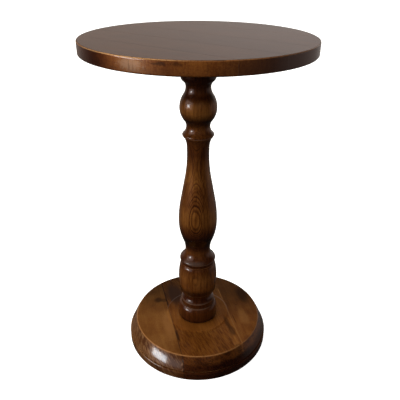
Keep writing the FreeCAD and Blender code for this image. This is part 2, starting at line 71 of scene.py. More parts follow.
# Table: what the materials need to know of it
TABLE_HEIGHT = cad_high.z
TOP_RADIUS = cad_high.x
TOP_THICKNESS = 0.022
TOP_GRAIN_ANGLE = math.radians(53)
BASE_GRAIN_ANGLE = math.radians(14)
BASE_RIM_LEVEL = 0.0495
BASE_RIM_RADIUS = 0.1344
BASE_PLATEAU_RADIUS = 0.0655
# Glue joints of the base, by their place across the grain
BASE_JOINTS = (-0.0608, 0.0486, 0.0659)


class Field:
    """A number or a vector that varies over a surface."""

    def __init__(self, shade, socket):
        self.shade = shade
        self.socket = socket

    def __add__(self, other):
        return self.shade.maths("ADD", self, other)

    def __sub__(self, other):
        return self.shade.maths("SUBTRACT", self, other)

    def __rsub__(self, other):
        return self.shade.maths("SUBTRACT", other, self)

    def __mul__(self, other):
        return self.shade.maths("MULTIPLY", self, other)

    def __truediv__(self, other):
        return self.shade.maths("DIVIDE", self, other)

    __radd__ = __add__
    __rmul__ = __mul__

    def largest(self, other):
        return self.shade.maths("MAXIMUM", self, other)

    def size(self):
        return self.shade.maths("ABSOLUTE", self)

    def root(self):
        return self.shade.maths("SQRT", self)

    def part(self):
        """What is left of a number above the whole number below it."""
        return self.shade.maths("FRACT", self)

    def rise(self, low, high):
        """0 up to low, 1 from high on, and a smooth step between them. low may be above high."""
        node = self.shade.add("ShaderNodeMapRange", interpolation_type="SMOOTHSTEP")
        self.shade.feed(node.inputs["Value"], self)
        self.shade.feed(node.inputs["From Min"], low)
        self.shade.feed(node.inputs["From Max"], high)
        return Field(self.shade, node.outputs["Result"])

    def sharper(self, times):
        """Noise with its differences from 0.5 made larger."""
        return (self - 0.5) * times + 0.5

    def near(self, place, reach):
        """1 at a place, falling to 0 at a distance of reach on both sides."""
        return (self - place).size().rise(reach, 0.0)


class Shade:
    """The nodes of one material or of the world."""

    def __init__(self, tree):
        self.tree = tree

    def add(self, kind, **settings):
        node = self.tree.nodes.new(kind)
        for name, value in settings.items():
            setattr(node, name, value)
        return node

    def feed(self, socket, value):
        if isinstance(value, Field):
            self.tree.links.new(value.socket, socket)
        else:
            socket.default_value = value

    def maths(self, operation, *values):
        node = self.add("ShaderNodeMath", operation=operation)
        for socket, value in zip(node.inputs, values):
            self.feed(socket, value)
        return Field(self, node.outputs["Value"])

    def split(self, vector):
        node = self.add("ShaderNodeSeparateXYZ")
        self.feed(node.inputs["Vector"], vector)
        return [Field(self, node.outputs[axis]) for axis in "XYZ"]

    def join(self, x, y, z):
        node = self.add("ShaderNodeCombineXYZ")
        for socket, value in zip(node.inputs, (x, y, z)):
            self.feed(socket, value)
        return Field(self, node.outputs["Vector"])

    def noise(self, vector, scale, detail=2.0, roughness=0.5):
        """Smooth noise about 0.5."""
        node = self.add("ShaderNodeTexNoise")
        self.feed(node.inputs["Vector"], vector)
        self.feed(node.inputs["Scale"], scale)
        self.feed(node.inputs["Detail"], detail)
        self.feed(node.inputs["Roughness"], roughness)
        return Field(self, node.outputs["Fac"])

    def ramp(self, value, *stops):
        """A colour for a value, from stops of (value, colour) in rising order."""
        node = self.add("ShaderNodeValToRGB")
        self.feed(node.inputs["Fac"], value)
        points = node.color_ramp.elements
        while len(points) < len(stops):
            points.new(1.0)
        for point, (place, colour) in zip(points, stops):
            point.position = place
            point.color = (*colour, 1.0)
        return Field(self, node.outputs["Color"])

    def mix(self, share, first, second, blend="MIX"):
        node = self.add("ShaderNodeMix", data_type="RGBA", blend_type=blend)
        self.feed(node.inputs["Factor"], share)
        colours = [socket for socket in node.inputs if socket.type == "RGBA"]
        for socket, colour in zip(colours, (first, second)):
            self.feed(socket, colour if isinstance(colour, Field) else (*colour, 1.0))
        return Field(self, next(socket for socket in node.outputs if socket.type == "RGBA"))


VARNISH_IOR = 1.5
# Specular level of the wood under its varnish
WOOD_GLOSS = 0.1
CREVICE_SAMPLES = 8
CORNER_SAMPLES = 6
# Marks per metre of the finest noise, which only breaks up the colour
FINE_SCALE = 900.0
# Green and blue are this power of red where the wood is darkened, by stain and by painted shade
REDDER = 1.3


class Finish(Shade):
    """The nodes of one material of the table."""

    def __init__(self, name):
        self.material = bpy.data.materials.new(name)
        self.material.use_nodes = True
        super().__init__(self.material.node_tree)
        self.surface = self.tree.nodes["Principled BSDF"]
        self.place = Field(self, self.add("ShaderNodeTexCoord").outputs["Object"])
        self.x, self.y, self.z = self.split(self.place)
        self.radius = (self.x * self.x + self.y * self.y).root()
        self.turn = self.maths("ARCTAN2", self.x, 0.0 - self.y) * math.degrees(1)
        self.normal = Field(self, self.add("ShaderNodeNewGeometry").outputs["Normal"])
        self.normal_x, self.normal_y, self.normal_z = self.split(self.normal)

    def set(self, **inputs):
        """Set inputs of the surface shader, given by their names with _ for a space."""
        for name, value in inputs.items():
            self.feed(self.surface.inputs[name.replace("_", " ")], value)

    def varnish(self, coat_roughness, shine):
        """Clear varnish over wood whose fibres shine through it."""
        self.set(Coat_Weight=1.0, Coat_Roughness=coat_roughness, Coat_IOR=VARNISH_IOR)
        self.set(Specular_IOR_Level=WOOD_GLOSS, Metallic=shine)

    def fine(self):
        return self.noise(self.place, FINE_SCALE, 2.0, 0.6)

    def crevice(self, reach):
        """1 deep in a corner, 0 on an open surface. reach is how far off a wall still counts."""
        node = self.add("ShaderNodeAmbientOcclusion", samples=CREVICE_SAMPLES)
        node.inputs["Distance"].default_value = reach
        return 1.0 - Field(self, node.outputs["AO"])

    def corner(self, reach):
        """1 on a sharp edge, inner or outer, and 0 on a smooth surface."""
        node = self.add("ShaderNodeBevel", samples=CORNER_SAMPLES)
        node.inputs["Radius"].default_value = reach
        along = self.add("ShaderNodeVectorMath", operation="DOT_PRODUCT")
        self.tree.links.new(node.outputs["Normal"], along.inputs[0])
        self.feed(along.inputs[1], self.normal)
        return (1.0 - Field(self, along.outputs["Value"])).rise(0.015, 0.12)

    def emboss(self, height, depth, corner_radius, waves=0.5, wave_depth=0.0001):
        """Round the corners and raise the wood by a height between 0 and 1 times a depth.

        The varnish over it only follows slow waves, given the same way.
        """
        corners = self.add("ShaderNodeBevel", samples=CORNER_SAMPLES)
        corners.inputs["Radius"].default_value = corner_radius
        for level, distance, socket in (
            (height, depth, "Normal"),
            (waves, wave_depth, "Coat Normal"),
        ):
            bump = self.add("ShaderNodeBump")
            bump.inputs["Distance"].default_value = distance
            self.feed(bump.inputs["Height"], level)
            self.tree.links.new(corners.outputs["Normal"], bump.inputs["Normal"])
            self.tree.links.new(bump.outputs["Normal"], self.surface.inputs[socket])

    def tint(self, share, wood, colour):
        """Wood multiplied by a colour, which takes light away by its share: a clear stain, and also
        painted shade.
        """
        return self.mix(share, wood, colour, "MULTIPLY")

    def shades(self, value, low, high, *stops):
        """How much of the wood's lightness is left, from stops of (value, share) in rising order.

        The darker the share, the redder it is, for stain and painted shade alike.
        """
        span = high - low
        colours = [
            ((place - low) / span, (share, share ** REDDER, share ** REDDER)) for place, share in stops
        ]
        return self.ramp((value - low) / span, *colours)


# Wood

# The colour of stained wood by its lightness, from 0, darkest, to 1
STAINED_WOOD = (
    (0.10, (0.020, 0.0042, 0.0007)),
    (0.40, (0.076, 0.0205, 0.0028)),
    (0.62, (0.150, 0.0480, 0.0076)),
    (0.95, (0.260, 0.1000, 0.0210)),
)
DARK_PORE = (0.010, 0.0030, 0.0010)
# Depth of the grain's relief
GRAIN_DEPTH = 0.00006
# How far the noise of a piece is moved along for each step of its seed
SEED_STEP = 0.37

# How each kind of wood is varnished: how strong its pores are, how rough the wood and the varnish are,
# how much the fibres shine, how round the corners are and how deep the varnish's slow waves are
TOP_VARNISH = {
    "pores": 0.35, "roughness": 0.40, "coat_roughness": 0.18, "shine": 0.25,
    "corner_radius": 0.0012, "wave_depth": 0.00003,
}
BASE_VARNISH = {
    "pores": 0.30, "roughness": 0.38, "coat_roughness": 0.14, "shine": 0.25,
    "corner_radius": 0.0006, "wave_depth": 0.00008,
}
COLUMN_VARNISH = {
    "pores": 0.45, "roughness": 0.36, "coat_roughness": 0.12, "shine": 0.30,
    "corner_radius": 0.0006, "wave_depth": 0.00008,
}


class Timber:
    """Grain of one piece of wood, from coordinates (across the grain, along it, square to both).

    pith is where the middle of the tree lies, as (across, square to both). climb is how fast the rings
    drift along the grain, in metres per metre.
    """

    def __init__(self, finish, axes, pith, ring_width, climb, seed):
        self.finish = finish
        self.across, self.along, self.depth = axes
        self.shift = seed * SEED_STEP
        to_pith_across = self.across - pith[0]
        to_pith_depth = self.depth - pith[1]
        distance = (to_pith_across * to_pith_across + to_pith_depth * to_pith_depth).root()
        drift = self.stretched(12, 3, 2.0) - 0.5
        wobble = self.stretched(90, 12, 2.0) - 0.5
        self.turns = (distance + self.along * climb) / ring_width + drift * 2.4 + wobble * 0.55
        phase = self.turns.part()
        self.rings = phase.rise(0.2, 0.80) * phase.rise(1.0, 0.90)
        self.ring_strength = self.once(self.turns * 0.61).rise(0.35, 0.65)
        self.fibres = self.stretched(1100, 40, 2.0)
        self.streaks = self.stretched(330, 14, 3.0)
        self.bands = self.stretched(70, 5, 2.0)
        self.blotches = finish.noise(finish.place, 42.0 + seed, 3.0, 0.55)
        self.mottle = finish.noise(finish.place, 330.0 + seed, 2.0, 0.6)
        self.clouds = finish.noise(finish.place, 13.0 + seed, 2.0, 0.5)

    def stretched(self, across_scale, along_scale, detail):
        """Noise with its marks drawn out along the grain. The scales are in marks per metre."""
        place = self.finish.join(
            self.across * across_scale + self.shift,
            self.along * along_scale - self.shift,
            self.depth * across_scale,
        )
        return self.finish.noise(place, 1.0, detail, 0.55)

    def once(self, turns):
        """Noise that changes from ring to ring."""
        return self.finish.noise(self.finish.join(turns, self.shift, 0.0), 1.0, 1.0)

    def pores(self):
        """1 in the small dark pores, drawn out along the grain, and 0 elsewhere."""
        return self.fibres.rise(0.59, 0.70)

    def ring_lines(self):
        """1 in the thin dark lines of late wood, some stronger than others, and 0 elsewhere."""
        return self.rings * (self.ring_strength * 0.75 + 0.25)

    def mark(self, place, half_size):
        """1 inside an oval mark with a frayed edge, 0 well outside. Both values are (across, along)."""
        across = (self.across - place[0]) / half_size[0]
        along = (self.along - place[1]) / half_size[1]
        outward = (across * across + along * along).root() + (self.bands - 0.5) * 0.5
        return outward.rise(1.15, 0.45)


def grain_axes(finish, angle):
    """Coordinates across and along the grain of a board whose grain is turned by an angle."""
    across = finish.x * math.cos(angle) + finish.y * math.sin(angle)
    along = finish.y * math.cos(angle) - finish.x * math.sin(angle)
    return across, along


def end_grain(finish, angle):
    """1 where a surface cuts square across a board's grain, 0 where it runs along it."""
    along = finish.normal_y * math.cos(angle) - finish.normal_x * math.sin(angle)
    return (along * along).rise(0.35, 0.95)


def varnish_wood(finish, timber, wood, look, waves):
    """The last work on a piece: the pores, the varnish and the relief of the grain."""
    wood = finish.mix(timber.pores() * look["pores"], wood, DARK_PORE)
    finish.set(Base_Color=wood, Roughness=look["roughness"] + timber.blotches * 0.1)
    finish.varnish(look["coat_roughness"], look["shine"])
    relief = timber.fibres * 0.4 + timber.streaks * 0.6
    finish.emboss(relief, GRAIN_DEPTH, look["corner_radius"], waves, look["wave_depth"])


# Top

TOP_RING_WIDTH = 0.0032
TOP_RING_CLIMB = 0.02
# Place of the pith as (across the grain, height above the surface), tone, which lightens a board, and
# seed
TOP_BOARDS = {
    "top_board_front": ((-0.16, -0.09), 0.02, 1.0),
    "top_board_front_middle": ((-0.08, 0.05), -0.02, 2.0),
    "top_board_middle": ((-0.01, -0.07), -0.03, 3.0),
    "top_board_back_middle": ((0.07, 0.06), 0.01, 4.0),
    "top_board_back": ((0.16, -0.10), -0.02, 5.0),
}
# Pale colour that paints a highlight on the top's edge at the front left
PAINTED_BAND_HIGHLIGHT = (0.380, 0.215, 0.120)
END_GRAIN_STAIN = (0.040, 0.0200, 0.0160)
BAND_STAIN = (1.0, 0.86, 0.75)
FACE_STAIN = (0.36, 0.33, 0.34)
# How light the wood is round the edge of the top, by its turn
BAND_SHADES = (
    (-90, 0.25), (-58, 0.20), (-49, 0.18), (-43, 0.36), (-38, 0.76), (-31, 0.92), (-26, 1.0),
    (-20, 0.92), (-12, 0.76), (-3, 0.96), (5, 0.98), (15, 0.88), (26, 0.90), (38, 0.45), (90, 0.45),
)
# A painted highlight there, on the front left, and dark marks: (turn, level), (half width in degrees,
# half height), strength, colour
BAND_MARKS = (
    ((-27.5, 0.6300), (6.5, 0.0100), 0.55, PAINTED_BAND_HIGHLIGHT),
    ((-15.0, 0.6345), (3.4, 0.0028), 0.60, DARK_PORE),
    ((-8.0, 0.6345), (3.0, 0.0030), 0.50, DARK_PORE),
    ((-28.0, 0.6280), (0.4, 0.0080), 0.35, DARK_PORE),
    ((-26.2, 0.6270), (0.4, 0.0090), 0.25, DARK_PORE),
    ((-46.0, 0.6250), (2.6, 0.0070), 0.40, DARK_PORE),
    ((3.5, 0.6300), (1.0, 0.0080), 0.30, DARK_PORE),
)
# The arris is lightened by wear and a painted highlight from the first distance off the top's face and
# edge, and fully so from the second
ARRIS_START, ARRIS_FULL = 0.0018, 0.0007
# Worn wood with a painted highlight on the arris's rounding
WORN_LIT_ARRIS = (0.640, 0.340, 0.140)
# Turns over which the arris gets to its lightest stretch, from the left and from the right
LIGHTEST_ARRIS_LEFT, LIGHTEST_ARRIS_RIGHT = (-80.0, -32.0), (2.0, -16.0)
# How upright a normal is where an edge of the top goes over into a flat face
FLAT_NORMAL = (0.75, 0.95)


def face_grain(timber):
    """Lightness of the wood on the flat faces of the top."""
    rings = timber.ring_lines() * 0.1
    return timber.bands * 0.35 + timber.streaks * 0.35 + timber.clouds * 0.3 - rings


def band_grain(finish, timber):
    """Lightness of the wood on the edge of the top, where the stain stands in upright marks."""
    upright = finish.noise(finish.join(finish.x * 420, finish.y * 420, finish.z * 60), 1.0, 2.0)
    return (
        timber.blotches.sharper(1.3) * 0.45 + timber.mottle.sharper(1.5) * 0.40
        + upright.sharper(1.5) * 0.30 + finish.fine().sharper(1.5) * 0.35 + 0.04
    )


def band_wood(finish, timber, wood):
    """The edge of the top: shaded round it, marked, with a painted highlight, darker below, duller on
    end grain.
    """
    band = finish.tint(1.0, wood, BAND_STAIN)
    band = finish.tint(1.0, band, finish.shades(finish.turn, -90, 90, *BAND_SHADES))
    for (turn, level), (half_turn, half_level), strength, colour in BAND_MARKS:
        sideways = (finish.turn - turn) / half_turn
        upwards = (finish.z - level) / half_level
        outward = (sideways * sideways + upwards * upwards).root() + (timber.mottle - 0.5) * 1.4
        band = finish.mix(outward.rise(1.2, 0.4) * strength, band, colour)
    height = (finish.z - TABLE_HEIGHT + TOP_THICKNESS) / TOP_THICKNESS
    band = finish.mix(height.rise(0.9, 0.0) * 0.35, band, DARK_PORE)
    return finish.mix(end_grain(finish, TOP_GRAIN_ANGLE) * 0.85, band, END_GRAIN_STAIN)


def arris_wear_and_highlight(finish, timber):
    """How far the upper arris of the top is lightened, by wear and a painted highlight: most at the
    front left.
    """
    arris = finish.z.rise(TABLE_HEIGHT - ARRIS_START, TABLE_HEIGHT - ARRIS_FULL)
    arris = arris * finish.radius.rise(TOP_RADIUS - ARRIS_START, TOP_RADIUS - ARRIS_FULL)
    lightest_stretch = finish.turn.rise(*LIGHTEST_ARRIS_RIGHT) * finish.turn.rise(*LIGHTEST_ARRIS_LEFT) * 0.75
    return arris * timber.mottle.rise(0.20, 0.50) * (lightest_stretch + 0.2)


def top_board(name, pith, tone, seed):
    finish = Finish(f"{name}_wood")
    axes = (*grain_axes(finish, TOP_GRAIN_ANGLE), finish.z - TABLE_HEIGHT)
    timber = Timber(finish, axes, pith, TOP_RING_WIDTH, TOP_RING_CLIMB, seed)
    flat = finish.normal_z.size().rise(*FLAT_NORMAL)
    value = flat * face_grain(timber) + (1.0 - flat) * band_grain(finish, timber) + tone
    wood = finish.ramp(value, *STAINED_WOOD)
    face = finish.tint(0.80, wood, FACE_STAIN)
    wood = finish.mix(flat, band_wood(finish, timber, wood), face)
    # Wear and a painted highlight on the upper arris
    wood = finish.mix(arris_wear_and_highlight(finish, timber), wood, WORN_LIT_ARRIS)
    varnish_wood(finish, timber, wood, TOP_VARNISH, timber.mottle)
    return finish.material


# Base

BASE_RING_WIDTH = 0.0034
BASE_RING_CLIMB = 0.05
# The flecks lie askew to the grain
FLECK_ANGLE = BASE_GRAIN_ANGLE + math.radians(15)
# How far a glue joint's line fades out at its ends, and how far beside it no edge is worn
JOINT_FADE = 0.006
JOINT_GAP = 0.007
# Distances over which the wood goes over from the flat to the moulding, and from the plateau to the flat
MOULDING_FADE = 0.002
PLATEAU_FADE = 0.001
# How far the wear and a painted highlight reach from the rim's arris, and the wear from the edges below
# it, and where each begins
RIM_WEAR_AND_HIGHLIGHT, EDGE_WEAR = 0.0015, 0.0020
RIM_WEAR_AND_HIGHLIGHT_LEVELS = (0.045, 0.048)
EDGE_WEAR_RADII = (0.138, 0.142)
# How far beside the plateau's edge the varnish is thin
THIN_VARNISH = 0.0040
# How far off a wall painted shade reaches on the base
CREVICE_SHADE_REACH = 0.012
# Places on the Y axis over which the wood gets painted shade to the back, and the plateau redder to the
# front
SHADED_FROM, REDDER_FROM = (-0.035, 0.090), (0.02, -0.04)
# Turns over which the pale strokes and the dark swirls of the moulding begin and end
HATCH_BEGINS, HATCH_ENDS = (-104.0, -88.0), (-10.0, -20.0)
SWIRLS_BEGIN, SWIRLS_END = (-8.0, 6.0), (120.0, 80.0)
LATE_WOOD = (0.35, 0.28, 0.25)
REDDER_PLATEAU = (0.230, 0.080, 0.012)
# Painted shade that darkens and greys the base behind the column
BACK_SHADE = (0.40, 0.44, 0.52)
DARK_STAIN = (0.010, 0.0028, 0.0011)
# Painted shade and reflection of the column on the board behind it
COLUMN_SHADE_PURPLE = (0.024, 0.0105, 0.0068)
RED_STAIN = (0.090, 0.0260, 0.0070)
PALE_WOOD = (0.260, 0.110, 0.030)
CHIPPED_WOOD = (0.450, 0.270, 0.140)
HATCHED_WOOD = (0.240, 0.120, 0.050)
SWIRLED_WOOD = (0.30, 0.24, 0.22)
# Worn wood with a painted highlight along the rim
WORN_LIT_RIM = (0.360, 0.165, 0.058)
# Painted shade in the base's corners
BASE_CREVICE_SHADE = (0.006, 0.0018, 0.0008)

# How light the moulding round the base is by its turn, above and below, and the levels between which
# the one goes over into the other
RIM_SHADES = (
    (-180, 0.8), (-90, 0.6), (-70, 0.52), (-55, 0.42), (-42, 0.40), (-30, 0.28), (-15, 0.38),
    (-6, 0.78), (3, 0.46), (15, 0.72), (25, 0.50), (35, 0.75), (45, 0.85), (55, 0.80), (68, 0.70),
    (90, 0.60), (180, 0.8),
)
LOW_RIM_SHADES = (
    (-180, 0.8), (-90, 0.9), (-70, 0.85), (-50, 0.66), (-40, 0.45), (-30, 0.40), (-15, 0.48),
    (-5, 0.30), (5, 0.27), (15, 0.15), (35, 0.14), (45, 0.14), (60, 0.32), (75, 0.38), (90, 0.32),
    (180, 0.8),
)
RIM_LEVEL, LOW_RIM_LEVEL = 0.038, 0.028

# pith, seed and tone are as for the top. bands, streaks, rings and flecks say how strong these are, and
# colour tints the board. Marks are (across, along), (half width, half length), strength, colour. Joints
# are the place across the grain, how far the line reaches, where it starts and ends along the grain, its
# strength and its colour
BASE_BOARDS = {
    "base_board_left": {
        "pith": (-0.11, -0.10), "seed": 6.0, "tone": 0.05, "bands": 0.15, "streaks": 0.10, "rings": 0.08,
        "flecks": 0.0, "colour": (1.0, 1.12, 1.3),
        "marks": [
            ((-0.0700, -0.0250), (0.016, 0.050), 0.55, PALE_WOOD),
            ((-0.0790, 0.0580), (0.011, 0.010), 0.75, DARK_STAIN),
            ((-0.0660, 0.0540), (0.009, 0.008), 0.60, DARK_STAIN),
            ((-0.0628, -0.1282), (0.0030, 0.0014), 0.90, CHIPPED_WOOD),
            ((-0.0634, -0.1328), (0.0034, 0.0010), 0.80, CHIPPED_WOOD),
        ],
        "joints": [
            (-0.0608, 0.0022, (0.030, 0.140), 1.0, DARK_STAIN),
            (-0.0608, 0.0022, (-0.150, -0.046), 0.9, DARK_STAIN),
            (-0.0608, 0.0020, (-0.046, 0.030), 0.75, DARK_STAIN),
        ],
    },
    "base_board_centre": {
        "pith": (-0.02, 0.09), "seed": 7.0, "tone": -0.05, "bands": 0.25, "streaks": 0.25, "rings": 0.35,
        "flecks": 0.65, "colour": (1.0, 1.0, 1.0),
        "marks": [
            # Painted shade and reflection of the column
            ((-0.0380, 0.0700), (0.024, 0.042), 0.92, COLUMN_SHADE_PURPLE),
            ((-0.0590, -0.0640), (0.0035, 0.022), 0.80, DARK_STAIN),
        ],
        "joints": [(-0.0608, 0.0022, (0.030, 0.140), 1.0, DARK_STAIN)],
    },
    "base_board_strip": {
        "pith": (0.05, -0.06), "seed": 8.0, "tone": -0.04, "bands": 0.30, "streaks": 0.35, "rings": 0.40,
        "flecks": 0.35, "colour": (1.0, 1.0, 1.0),
        "marks": [
            ((0.0530, -0.0500), (0.007, 0.020), 0.55, DARK_STAIN),
            ((0.0570, -0.0780), (0.008, 0.018), 0.55, DARK_STAIN),
            ((0.0560, -0.1240), (0.009, 0.008), 0.45, DARK_STAIN),
        ],
        "joints": [(0.0659, 0.0020, (-0.140, 0.064), 0.45, PALE_WOOD)],
    },
    "base_board_right": {
        "pith": (0.10, 0.10), "seed": 9.0, "tone": -0.05, "bands": 0.20, "streaks": 0.20, "rings": 0.15,
        "flecks": 0.0, "colour": (1.0, 1.05, 1.2),
        "marks": [
            ((0.0940, -0.0420), (0.013, 0.030), 0.45, PALE_WOOD),
            ((0.0722, -0.0450), (0.0011, 0.019), 0.80, DARK_STAIN),
            ((0.1160, 0.0320), (0.013, 0.036), 0.72, DARK_STAIN),
            ((0.0907, 0.0000), (0.0016, 0.0016), 0.80, DARK_STAIN),
            ((0.0805, -0.1100), (0.012, 0.015), 0.60, RED_STAIN),
        ],
        "joints": [(0.0659, 0.0026, (-0.140, 0.064), 0.50, PALE_WOOD)],
    },
}


def base_stain(finish, timber, look):
    """A board's wood: its grain, rings and flecks, redder on the plateau's front, with painted shade at
    the back.
    """
    value = (
        timber.bands * look["bands"] + timber.streaks.sharper(1.5) * look["streaks"]
        + timber.blotches * 0.25 + timber.mottle * 0.20 + timber.clouds.sharper(1.5) * 0.25
        + finish.fine() * 0.2 + look["tone"]
    )
    wood = finish.tint(1.0, finish.ramp(value, *STAINED_WOOD), look["colour"])
    wood = finish.tint(timber.ring_lines() * look["rings"], wood, LATE_WOOD)
    plateau = finish.radius.rise(BASE_PLATEAU_RADIUS + PLATEAU_FADE, BASE_PLATEAU_RADIUS - PLATEAU_FADE)
    fleck_across, fleck_along = grain_axes(finish, FLECK_ANGLE)
    flecks = finish.noise(finish.join(fleck_across * 420, fleck_along * 45, finish.z * 300), 1.0, 2.0)
    flecks = flecks.rise(0.45, 0.62) * (1.0 - plateau) * look["flecks"]
    wood = finish.tint(flecks, wood, LATE_WOOD)
    wood = finish.mix(plateau * finish.y.rise(*REDDER_FROM) * 0.20, wood, REDDER_PLATEAU)
    # Painted shade: darker and greyer towards the back, behind the column
    return finish.mix(finish.y.rise(*SHADED_FROM), wood, finish.tint(1.0, wood, BACK_SHADE))


def base_marks(finish, timber, wood, look):
    """Wood with a board's stains and chips and the lines of its glue joints."""
    for place, half_size, strength, colour in look["marks"]:
        wood = finish.mix(timber.mark(place, half_size) * strength, wood, colour)
    for joint, reach, (start, end), strength, colour in look["joints"]:
        stretch = timber.along.rise(start - JOINT_FADE, start + JOINT_FADE)
        stretch = stretch * timber.along.rise(end + JOINT_FADE, end - JOINT_FADE)
        wood = finish.mix(timber.across.near(joint, reach) * stretch * strength, wood, colour)
    return wood


def moulding_hatch(finish, moulded):
    """1 in the slanting pale strokes on the left of the moulding, 0 elsewhere."""
    place = finish.join(finish.turn * 0.9 + finish.z * 300, finish.z * 90, finish.turn * 0.08)
    hatched = moulded * finish.turn.rise(*HATCH_BEGINS) * finish.turn.rise(*HATCH_ENDS)
    return finish.noise(place, 1.0, 3.0, 0.6).rise(0.44, 0.62) * hatched


def moulding_swirls(finish, moulded):
    """1 in the dark swirls on the front and right of the moulding, 0 elsewhere."""
    place = finish.join(finish.turn * 0.10 + finish.z * 40, finish.z * 80, finish.turn * 0.05)
    swirls = finish.noise(place, 1.0, 3.0, 0.65).rise(0.48, 0.60)
    return swirls * moulded * finish.turn.rise(*SWIRLS_BEGIN) * finish.turn.rise(*SWIRLS_END)


def moulding_wood(finish, moulded, hatch, wood):
    """Wood with the shades of the moulding by its turn, its strokes and its swirls."""
    rim = finish.shades(finish.turn, -180, 180, *RIM_SHADES)
    low_rim = finish.shades(finish.turn, -180, 180, *LOW_RIM_SHADES)
    rim = finish.mix(finish.z.rise(RIM_LEVEL, LOW_RIM_LEVEL), rim, low_rim)
    wood = finish.mix(moulded, wood, finish.tint(1.0, wood, rim))
    hatch_strength = finish.turn.rise(-20.0, -60.0) * 0.4 + 0.45
    wood = finish.mix(hatch * hatch_strength, wood, HATCHED_WOOD)
    return finish.tint(moulding_swirls(finish, moulded) * 0.6, wood, SWIRLED_WOOD)


def base_wear_and_highlight(finish, timber):
    """Lightening of the rim by wear and a painted highlight, and of the sharp edges below it by wear.

    Less to the right, and not at a joint.
    """
    rim = finish.radius.near(BASE_RIM_RADIUS, RIM_WEAR_AND_HIGHLIGHT) * finish.z.rise(*RIM_WEAR_AND_HIGHLIGHT_LEVELS)
    rim = rim * timber.mottle.rise(0.20, 0.50) * (finish.turn.rise(60.0, -10.0) * 0.5 + 0.4)
    edge = finish.corner(EDGE_WEAR) * finish.radius.rise(*EDGE_WEAR_RADII)
    for joint in BASE_JOINTS:
        edge = edge * (1.0 - timber.across.near(joint, JOINT_GAP))
    return rim.largest(edge * finish.turn.rise(50.0, 0.0) * 0.6)


def base_board(name, look):
    finish = Finish(f"{name}_wood")
    axes = (*grain_axes(finish, BASE_GRAIN_ANGLE), finish.z - BASE_RIM_LEVEL)
    timber = Timber(finish, axes, look["pith"], BASE_RING_WIDTH, BASE_RING_CLIMB, look["seed"])
    moulded = finish.radius.rise(BASE_RIM_RADIUS, BASE_RIM_RADIUS + MOULDING_FADE)
    hatch = moulding_hatch(finish, moulded)
    wood = base_stain(finish, timber, look)
    wood = base_marks(finish, timber, wood, look)
    wood = moulding_wood(finish, moulded, hatch, wood)
    # Wear and a painted highlight on the rim, wear on the edges below it
    wood = finish.mix(base_wear_and_highlight(finish, timber), wood, WORN_LIT_RIM)
    # Painted shade in corners, most where the column stands on the base
    wood = finish.mix(finish.crevice(CREVICE_SHADE_REACH).rise(0.25, 0.75) * 0.8, wood, BASE_CREVICE_SHADE)
    varnish_wood(finish, timber, wood, BASE_VARNISH, timber.mottle)
    plateau_edge = finish.radius.near(BASE_PLATEAU_RADIUS, THIN_VARNISH)
    dull = plateau_edge.largest(hatch * finish.turn.rise(-30.0, -60.0) * 0.45)
    finish.set(Coat_Weight=1.0 - dull)
    return finish.material


# Column

# The column's rings face the front a little to the left, and climb towards the back
COLUMN_PITH = (0.0157, 0.1190)
COLUMN_RING_WIDTH = 0.00094
COLUMN_RING_CLIMB = 0.075
COLUMN_SEED = 3.0
# How light the column's wood is, by level: stain, with painted shade where it is darkest, in the necks
# and towards the top
COLUMN_STAIN_AND_SHADES = (
    (0.040, 0.14), (0.054, 0.20), (0.075, 0.32), (0.098, 0.20), (0.117, 0.19), (0.127, 0.09),
    (0.139, 0.68), (0.160, 0.90), (0.175, 0.62), (0.188, 0.32), (0.203, 0.22), (0.220, 0.58),
    (0.232, 0.20), (0.242, 0.05), (0.255, 0.05), (0.267, 0.26), (0.278, 0.50), (0.294, 1.0),
    (0.315, 0.95), (0.332, 0.66), (0.355, 0.66), (0.392, 1.0), (0.412, 0.76), (0.432, 0.38),
    (0.463, 0.50), (0.483, 0.62), (0.499, 0.07), (0.515, 1.0), (0.528, 0.85), (0.541, 0.22),
    (0.549, 0.38), (0.573, 0.14),
)
# Painted grey reflection of the room on rounded arrises
REFLECTED_GREY = (0.170, 0.110, 0.080)
# Worn wood with a painted highlight
WORN_LIT_ORANGE = (0.300, 0.125, 0.040)
# Arrises painted lighter, by wear and by painted highlights and reflections on their rounding: level,
# how far it reaches, how much, colour
COLUMN_ARRIS_LIGHTS = (
    (0.0840, 0.0020, 0.32, REFLECTED_GREY),
    (0.0955, 0.0020, 0.34, REFLECTED_GREY),
    (0.1890, 0.0018, 0.60, WORN_LIT_ORANGE),
    (0.1980, 0.0020, 0.45, REFLECTED_GREY),
    (0.4666, 0.0018, 0.75, (0.240, 0.130, 0.085)),
)
# A painted grey sheen on the ring's front: level, how far it reaches, how much, colour
RING_SHEEN = (0.2020, 0.0055, 0.35, (0.130, 0.098, 0.082))
COLUMN_LATE_WOOD = (0.26, 0.18, 0.14)
WORN_CORNER = (0.300, 0.105, 0.022)
# Painted shade in the column's crevices
COLUMN_CREVICE_SHADE = (0.006, 0.0014, 0.0006)
# Levels over which the rings get clear at the foot of the vase and fade out on the ball
RINGS_CLEAR, RINGS_FADE = (0.20, 0.25), (0.53, 0.46)
# Turns over which the arrises' wear and painted highlights begin on the right, and the ring's painted
# sheen begins and ends
ARRIS_LIGHTS_BEGIN = (75.0, 10.0)
SHEEN_BEGINS, SHEEN_ENDS = (-65.0, -35.0), (35.0, 0.0)
# How far the wear of a corner reaches, how far off a wall it stops, and how far off one painted shade
# darkens the wood
CORNER_WEAR, CORNER_CLEARANCE, COLUMN_CREVICE_SHADE_REACH = 0.0014, 0.006, 0.014


